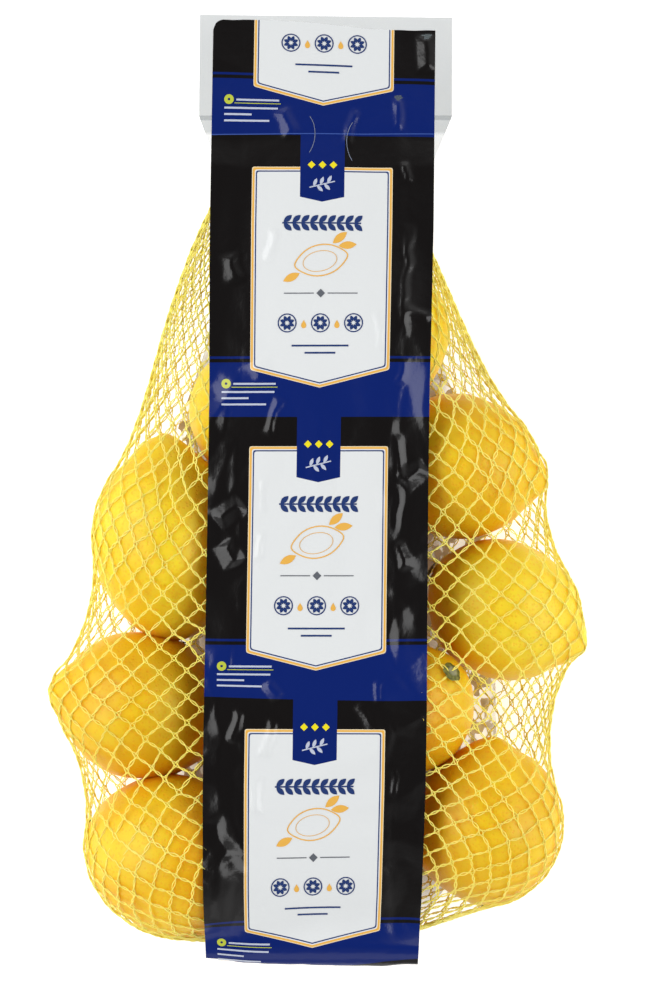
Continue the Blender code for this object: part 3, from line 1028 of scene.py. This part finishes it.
def drop(bm, x, y, width, turn=math.pi / 2):
    made = bmesh.ops.create_circle(bm, cap_ends=True, segments=20, radius=0.5)["verts"]
    for vert in made:
        along = vert.co.x + 0.5
        vert.co = Vector((vert.co.x * 1.35 * width, vert.co.y * width * (1.0 - along ** 2), 0.0))
    place_shape(made, x, y, turn)


def ring(bm, x, y, width, height, line, turn=0.0, point=0.0, half_arc=math.pi):
    """An oval line; point draws its two ends out, and half_arc keeps only the part near turn."""
    made = bmesh.ops.create_circle(bm, cap_ends=True, segments=40, radius=0.5)["verts"]
    for vert in made:
        cosine = 2.0 * vert.co.x
        reach = 1.0 + point * abs(cosine) ** 9
        vert.co = Vector((vert.co.x * width * reach, vert.co.y * height, 0.0))
    middle = made[0].link_faces[:]
    bmesh.ops.inset_individual(bm, faces=middle, thickness=line, use_even_offset=True)
    outline = {v for f in middle for v in f.verts} | set(made)
    bmesh.ops.delete(bm, geom=middle, context="FACES_ONLY")
    wall = {face for vert in made for face in vert.link_faces}
    unwanted = [face for face in wall
                if abs(math.atan2(*face.calc_center_median().yx)) > half_arc]
    place_shape(outline, x, y, turn)
    bmesh.ops.delete(bm, geom=unwanted, context="FACES")


def lay_ink(name, bm, material, lift=0.12):
    """Slice a flat design finely, lay it on the film and give it a hair of thickness."""
    for axis, step in ((0, 2.0), (1, 2.0)):
        values = [vert.co[axis] for vert in bm.verts]
        for cut in np.arange(math.ceil(min(values) / step) * step, max(values), step):
            normal = Vector((1.0 - axis, axis, 0.0))
            bmesh.ops.bisect_plane(bm, geom=bm.verts[:] + bm.edges[:] + bm.faces[:],
                                   plane_co=normal * cut, plane_no=normal)
    u = np.array([vert.co.x for vert in bm.verts])
    v = np.array([vert.co.y for vert in bm.verts])
    for vert, place in zip(bm.verts, film_point(u, v, lift)):
        vert.co = Vector(place)
    thicken(bm, 0.09)
    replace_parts(to_object(name, bm, [material]), "label_band")


def ink_finish(name, colour):
    material, tree, shader = new_material(name)
    shader.inputs["Base Color"].default_value = colour
    film_gloss(tree, shader)
    return material


# %% Draw the ornaments
gold_bm, navy_bm, grey_bm = bmesh.new(), bmesh.new(), bmesh.new()
yellow_bm, pale_bm, lime_bm = bmesh.new(), bmesh.new(), bmesh.new()
PANEL_TOPS = [FIRST_TIP + PANEL_TALL - REPEAT * k for k in range(4)]
for top in PANEL_TOPS[1:]:
    for i in range(9):
        x = (i - 4) * 3.7
        leaf(navy_bm, x - 1.1, top - 23.9, 4.6, 2.3, 0.75)
        leaf(navy_bm, x - 1.1, top - 24.3, 4.6, 2.3, -0.75)
    bar(navy_bm, 0.0, top - 24.1, 33.0, 0.65)
    ring(gold_bm, 0.0, top - 40.0, 20.0, 13.6, 0.5, 0.22, 0.16)
    ring(gold_bm, -0.5, top - 40.4, 14.6, 8.8, 0.24, 0.22)
    for x, y, turn in ((4.8, -32.8, 0.7), (7.2, -33.9, 0.1), (-9.0, -45.6, 3.6)):
        leaf(gold_bm, x, top + y, 7.6, 3.3, turn)
    bar(grey_bm, -9.2, top - 54.0, 12.6, 0.42)
    bar(grey_bm, 9.2, top - 54.0, 12.6, 0.42)
    bar(grey_bm, 0.0, top - 54.0, 2.6, 2.6, math.pi / 4)
for top in PANEL_TOPS:
    for x in (-14.0, 0.0, 14.0):
        ring(navy_bm, x, top - 66.5, 8.0, 8.0, 0.5)
        for i in range(8):
            turn = math.pi * (i + 0.5) / 4
            leaf(navy_bm, x + 0.7 * math.cos(turn), top - 66.5 + 0.7 * math.sin(turn), 2.5, 1.5,
                 turn)
    for x in (-7.0, 7.0):
        drop(gold_bm, x, top - 67.0, 2.6)
    for y, width in ((-76.0, 24.0), (-79.0, 13.0)):
        bar(navy_bm, 0.0, top + y, width, 0.75)

for k in range(4):
    tip = FIRST_TIP - REPEAT * k
    ring(lime_bm, -39.7, tip + 1.7, 4.0, 4.0, 1.45)
    bar(lime_bm, -27.6, tip + 0.2, 19.5, 0.3)
    for y, start, width in ((1.6, -36.6, 18.0), (-1.8, -41.6, 22.5), (-4.4, -41.6, 11.5),
                            (-7.0, -41.6, 19.0)):
        bar(pale_bm, start + width / 2, tip + y, width, 0.8)
    if k < 3:
        for x in (-4.6, 0.0, 4.6):
            bar(yellow_bm, x, tip - 23.6, 2.3, 2.3, math.pi / 4)
        bar(pale_bm, 0.0, tip - 32.0, 11.0, 0.5, 0.25)
        for x, y, turn in ((-3.6, -32.8, 1.2), (-0.8, -32.1, 1.2), (2.2, -31.4, 1.1),
                           (-2.2, -32.5, -0.8), (0.8, -31.8, -0.8)):
            leaf(pale_bm, x, tip + y, 3.6, 1.5, turn)

# %% [markdown]
# A hole for the display hook is half cut through the header: two bowed cuts, back to back, which
# show as hair-thin pale lines where the film has parted.

# %% Lay the ornaments and the hook cuts
cut_bm = bmesh.new()
HOOK_CUTS = ((-15.2, 148.4, 24.0, 0.0), (22.4, 145.9, 25.0, math.pi))
for x, y, size, turn in HOOK_CUTS:
    ring(cut_bm, x, y, size, size, 0.22, turn, half_arc=0.58)
INKS = (("ink_gold", gold_bm, GOLD_INK), ("ink_navy", navy_bm, NAVY_INK),
        ("ink_grey", grey_bm, (0.12, 0.13, 0.15, 1)), ("ink_yellow", yellow_bm, (0.85, 0.72, 0.02, 1)),
        ("ink_pale", pale_bm, (0.50, 0.54, 0.66, 1)), ("ink_lime", lime_bm, (0.50, 0.55, 0.06, 1)),
        ("hook_cuts", cut_bm, (0.22, 0.25, 0.34, 1)))
for name, bm, colour in INKS:
    lay_ink(name, bm, ink_finish(name, colour))

# %% [markdown]
# ## The clear film at the back
# A second strip, clear and wider, runs down the back. It is sealed to the printed film in the
# flat header, hangs under the fruit like a hammock, and comes up again to the seal at the foot.
# Its height comes from the same tight string as before, turned upside down. Beyond the printed
# film it can be seen at both sides of the header, and through the gaps between the lemons.

# %% Outline of the clear film
# distance along the pack, left edge, right edge
CLEAR_OUTLINE = ((-199.0, -42.0, 37.0), (-188.0, -46.0, 40.0), (-160.0, -66.0, 64.0),
                 (-110.0, -79.0, 77.0), (-40.0, -76.0, 76.0), (15.0, -64.0, 66.0),
                 (60.0, -48.0, 52.0), (110.0, -40.0, 44.0), (138.5, -43.0, 49.0),
                 (156.5, -49.8, 56.5), (200.0, -49.6, 56.8))
HEADER_START = 150.0
CLEAR_GAP = 0.4
CLEAR_FLOOR = 0.25
HEADER_COVER = 0.51
BRIDGE_COVER = 0.25
# cover where the film hangs loose, which carries its painted brown reflection of the lemons
LOOSE_COVER = 0.80

outline_y, outline_left, outline_right = np.array(CLEAR_OUTLINE).T
clear_y = np.linspace(-199.0, 200.1, 241)
clear_share = np.linspace(0.0, 1.0, 85)
left = np.interp(clear_y, outline_y, outline_left)[:, None]
right = np.interp(clear_y, outline_y, outline_right)[:, None]
clear_x = left + (right - left) * clear_share + CENTRING[0]
clear_y = clear_y[:, None] - 1.3 * clear_share * np.clip((clear_y[:, None] - 180.0) / 20.0, 0, 1)


# %% Lay the clear film under the net
def under_net(x, y):
    hit = tree.ray_cast(Vector((x, y, -50.0)), Vector((0.0, 0.0, 1.0)))[0]
    return hit.z - 0.5 if hit else 200.0


def printed_height(x, y):
    """Height of the printed film at places of the pack, carried on level past its edges."""
    u = (x - CENTRING[0] - film_middle(y)) / half_width_at(y) * FILM_HALF
    v = np.interp(y, walk_y[:, len(ACROSS) // 2], WALK)
    return film_point(np.clip(u, -FILM_HALF, FILM_HALF), v)[..., 2]


ceiling = np.array([[under_net(x, y) for x, y in zip(*row)] for row in zip(clear_x, clear_y)])
in_header = clear_y[:, 0] > HEADER_START
header_z = printed_height(clear_x, clear_y) - CLEAR_GAP
hanging = np.minimum(ceiling, 70.0)
hanging[0] = FOOT[-1][1] - 1.0
last = int(np.argmax(in_header))
hanging[last] = header_z[last]
hung = np.stack([-tight_string(clear_y[:last + 1, 0], -hanging[:last + 1, c])
                 for c in range(len(clear_share))], axis=1)
clear_z = header_z.copy()
clear_z[:last + 1] = np.maximum(soften(hung, 4), CLEAR_FLOOR)


def crumple(x, y):
    """Small sharp folds of a film that nothing holds flat."""
    height = 0.0
    for seed, (turn, width, tall) in enumerate(((0.2, 9.0, 0.9), (1.3, 7.0, 0.7), (2.4, 5.0, 0.5))):
        bend = noise.noise(Vector((x / 14.0, y / 14.0, seed * 4.3 + 30.0)))
        wave = (x * math.cos(turn) + y * math.sin(turn)) / width + 0.9 * bend
        height += tall * (1.0 - 4.0 * abs(wave - math.floor(wave + 0.5)))
    return height


crumples = np.array([[crumple(x, y) for x, y in zip(*row)] for row in zip(clear_x, clear_y)])
loose = np.clip((HEADER_START - clear_y) / 40.0, 0.0, 1.0) * np.clip((clear_y + 199.0) / 15.0, 0, 1)
clear_z = clear_z + loose * (crumples + 0.6)
past_film = np.abs(clear_x - CENTRING[0] - film_middle(clear_y)) - half_width_at(clear_y)
wave = 0.14 * np.sin(clear_x / 9.0 + 1.0) * np.sin(clear_y / 14.0)
clear_z += np.where(in_header[:, None], wave * np.clip(past_film / 6.0, 0.0, 1.0), 0.0)
clear_z = np.clip(clear_z, CLEAR_FLOOR, np.where(in_header[:, None], 99.0, ceiling + 0.2))
slope_y, slope_x = np.gradient(clear_z, axis=(0, 1))
steep = np.clip(np.hypot(slope_y / 1.65, slope_x / 1.3) / 0.5, 0.0, 1.0)
# painted reflection: under the lemons the hanging film is made browner and less clear, for the lemons
# it mirrors
painted_reflection = np.clip((70.0 - clear_y) / 30.0, 0.0, 1.0) * np.clip((clear_y + 178.0) / 15.0, 0.0, 1.0)
painted_reflection = painted_reflection * np.clip((82.0 - np.abs(clear_x)) / 10.0, 0.0, 1.0)
# painted shade: beside the printed film the hanging film is made more opaque with fewer glints, so the
# hollows there look dark
painted_shade_beside_label = np.clip((58.0 - np.abs(clear_x)) / 8.0, 0.0, 1.0)
hanging_cover = BRIDGE_COVER + painted_reflection * (LOOSE_COVER - BRIDGE_COVER + 0.1 * np.maximum(steep, painted_shade_beside_label))
cover = np.where(in_header[:, None], HEADER_COVER, hanging_cover)
print("clear film between", round(float(clear_z.min()), 2), "and", round(float(clear_z.max()), 1))

# %% [markdown]
# Clear film shows itself by what it hides and mirrors: a faint grey where two layers are sealed
# in the header, a darker line at the seal, and a painted brown reflection of the lemons where it
# hangs loose under them. That reflection is broken by small round places that let the pale floor
# through as painted glints, and is darker beside the printed film as painted shade. The share of
# light that it stops is kept at each point as an attribute, and sets the alpha of the material.
# Two more attributes tell how strong the painted reflection is and how open the painted glints are.

# %% Make the clear film
clear_bm = bmesh.new()
bmesh.ops.create_grid(clear_bm, x_segments=84, y_segments=240, size=1.0)
cover_layer = clear_bm.verts.layers.float.new("cover")
painted_reflection_layer = clear_bm.verts.layers.float.new("painted_reflection")
painted_glint_layer = clear_bm.verts.layers.float.new("open")
for vert in clear_bm.verts:
    column = round((vert.co.x * 0.5 + 0.5) * 84)
    row = round((vert.co.y * 0.5 + 0.5) * 240)
    vert[cover_layer] = cover[row, column]
    vert[painted_reflection_layer] = painted_reflection[row, column]
    # painted glints: round places open onto the floor where the painted reflection is, fewer beside
    # the printed film
    vert[painted_glint_layer] = painted_reflection[row, column] * (1.0 - 0.8 * painted_shade_beside_label[row, column])
    vert.co = Vector((clear_x[row, column], clear_y[row, column], clear_z[row, column]))


def clear_finish():
    material, tree, shader = new_material("clear_film")
    cover = node(tree, "ShaderNodeAttribute", {"attribute_name": "cover"}).outputs["Fac"]
    place = node(tree, "ShaderNodeTexCoord").outputs["Object"]
    along = node(tree, "ShaderNodeSeparateXYZ", Vector=place).outputs["Y"]
    from_seal = math_node(tree, "ABSOLUTE", math_node(tree, "SUBTRACT", along, SEAL_LINE * MM))
    seal = remap(tree, from_seal, 0.0012, 0.0008)
    sealed = math_node(tree, "ADD", cover, math_node(tree, "MULTIPLY", seal, 0.18))
    painted_reflection = node(tree, "ShaderNodeAttribute", {"attribute_name": "painted_reflection"}).outputs["Fac"]
    painted_glint = node(tree, "ShaderNodeAttribute", {"attribute_name": "open"}).outputs["Fac"]
    drawn = node(tree, "ShaderNodeMapping", Vector=place, Scale=(1.2, 0.75, 1.0)).outputs[0]
    # painted glints: noise blots cut the alpha so that the pale floor shows through as white glints
    painted_glint_blots = node(tree, "ShaderNodeTexNoise", Vector=drawn, Scale=230.0, Detail=0.6).outputs[0]
    painted_glint_place = math_node(tree, "MULTIPLY", remap(tree, painted_glint_blots, 0.485, 0.53), painted_glint)
    kept = math_node(tree, "SUBTRACT", 1.0, math_node(tree, "MULTIPLY", painted_glint_place, 0.95))
    tree.links.new(math_node(tree, "MULTIPLY", sealed, kept), shader.inputs["Alpha"])
    # painted reflection: brown is mixed in where the film mirrors the lemons
    colour = blend_colours(tree, painted_reflection, (0.14, 0.175, 0.185, 1), (0.52, 0.35, 0.04, 1))
    tree.links.new(colour, shader.inputs["Base Color"])
    shader.inputs["Roughness"].default_value = 0.12
    wrinkle = node(tree, "ShaderNodeTexNoise", Vector=place, Scale=220.0, Detail=2.0).outputs[0]
    bump = node(tree, "ShaderNodeBump", Height=wrinkle, Strength=0.5, Distance=0.0003)
    tree.links.new(bump.outputs[0], shader.inputs["Normal"])
    return material


clear_film = to_object("clear_film", clear_bm, [clear_finish()])
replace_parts(clear_film, "back_band")

# %% [markdown]
# ## Floor, light and camera
# The pack lies on a plain pale floor. Wide soft lights stand round it, low enough that a flat
# stretch of black film, seen from above, mirrors the darker air between them and stays black,
# while each crease that leans a little picks up a light as a grey patch.

# %% Floor
floor_bm = bmesh.new()
bmesh.ops.create_grid(floor_bm, x_segments=1, y_segments=1, size=12.0)
floor_mesh = bpy.data.meshes.new("floor")
floor_bm.to_mesh(floor_mesh)
floor_bm.free()
floor = bpy.data.objects.new("floor", floor_mesh)
bpy.context.scene.collection.objects.link(floor)
floor_white, floor_tree, floor_shader = new_material("floor_white")
floor_shader.inputs["Base Color"].default_value = (0.90, 0.90, 0.90, 1)
floor_shader.inputs["Roughness"].default_value = 0.9
floor_shader.inputs["Specular IOR Level"].default_value = 0.1
floor_shader.inputs["Emission Color"].default_value = (1, 1, 1, 1)
floor_shader.inputs["Emission Strength"].default_value = 0.5
floor_mesh.materials.append(floor_white)


# %% Lights
def soft_light(name, direction, distance, size, power, tall=None):
    data = bpy.data.lights.new(name, "AREA")
    data.shape = "RECTANGLE"
    data.size = size
    data.size_y = tall or size
    data.energy = power
    lamp = bpy.data.objects.new(name, data)
    way = Vector(direction).normalized()
    lamp.location = way * distance
    lamp.rotation_euler = (-way).to_track_quat("-Z", "Y").to_euler()
    bpy.context.scene.collection.objects.link(lamp)
    return lamp


soft_light("light_left", (-1.0, 0.1, 0.84), 1.5, 1.6, 16.8, 1.1)
soft_light("light_right", (1.0, -0.1, 0.78), 1.6, 1.0, 13.9, 1.5)
soft_light("light_top", (0.1, 1.0, 0.5), 1.7, 1.3, 2.0, 0.7)
soft_light("light_bottom", (-0.1, -1.0, 0.5), 1.8, 1.3, 1.5, 0.7)

world = bpy.data.worlds.new("studio")
world.use_nodes = True
sky = world.node_tree
direction = node(sky, "ShaderNodeTexCoord").outputs["Generated"]
height = node(sky, "ShaderNodeSeparateXYZ", Vector=direction).outputs["Z"]
sideways = node(sky, "ShaderNodeSeparateXYZ", Vector=direction).outputs["X"]
level = remap(sky, height, 0.52, 0.94, 0.78, 0.06)
beside = remap(sky, math_node(sky, "ABSOLUTE", sideways), 0.0, 0.6, 0.42, 1.0)
level = math_node(sky, "MULTIPLY", level, beside)
sky.links.new(level, sky.nodes["Background"].inputs["Strength"])
sky.nodes["Background"].inputs["Color"].default_value = (1.0, 1.0, 1.0, 1)
bpy.context.scene.world = world

# %% Camera
CAMERA_HEIGHT = 2.0
FRAME_HEIGHT = 0.420
camera_data = bpy.data.cameras.new("camera")
camera_data.lens = camera_data.sensor_width * (CAMERA_HEIGHT - 0.055) / FRAME_HEIGHT
camera = bpy.data.objects.new("camera", camera_data)
camera.location = (0.0064, -0.0047, CAMERA_HEIGHT)
bpy.context.scene.collection.objects.link(camera)
bpy.context.scene.camera = camera
bpy.context.scene.view_settings.view_transform = "Standard"
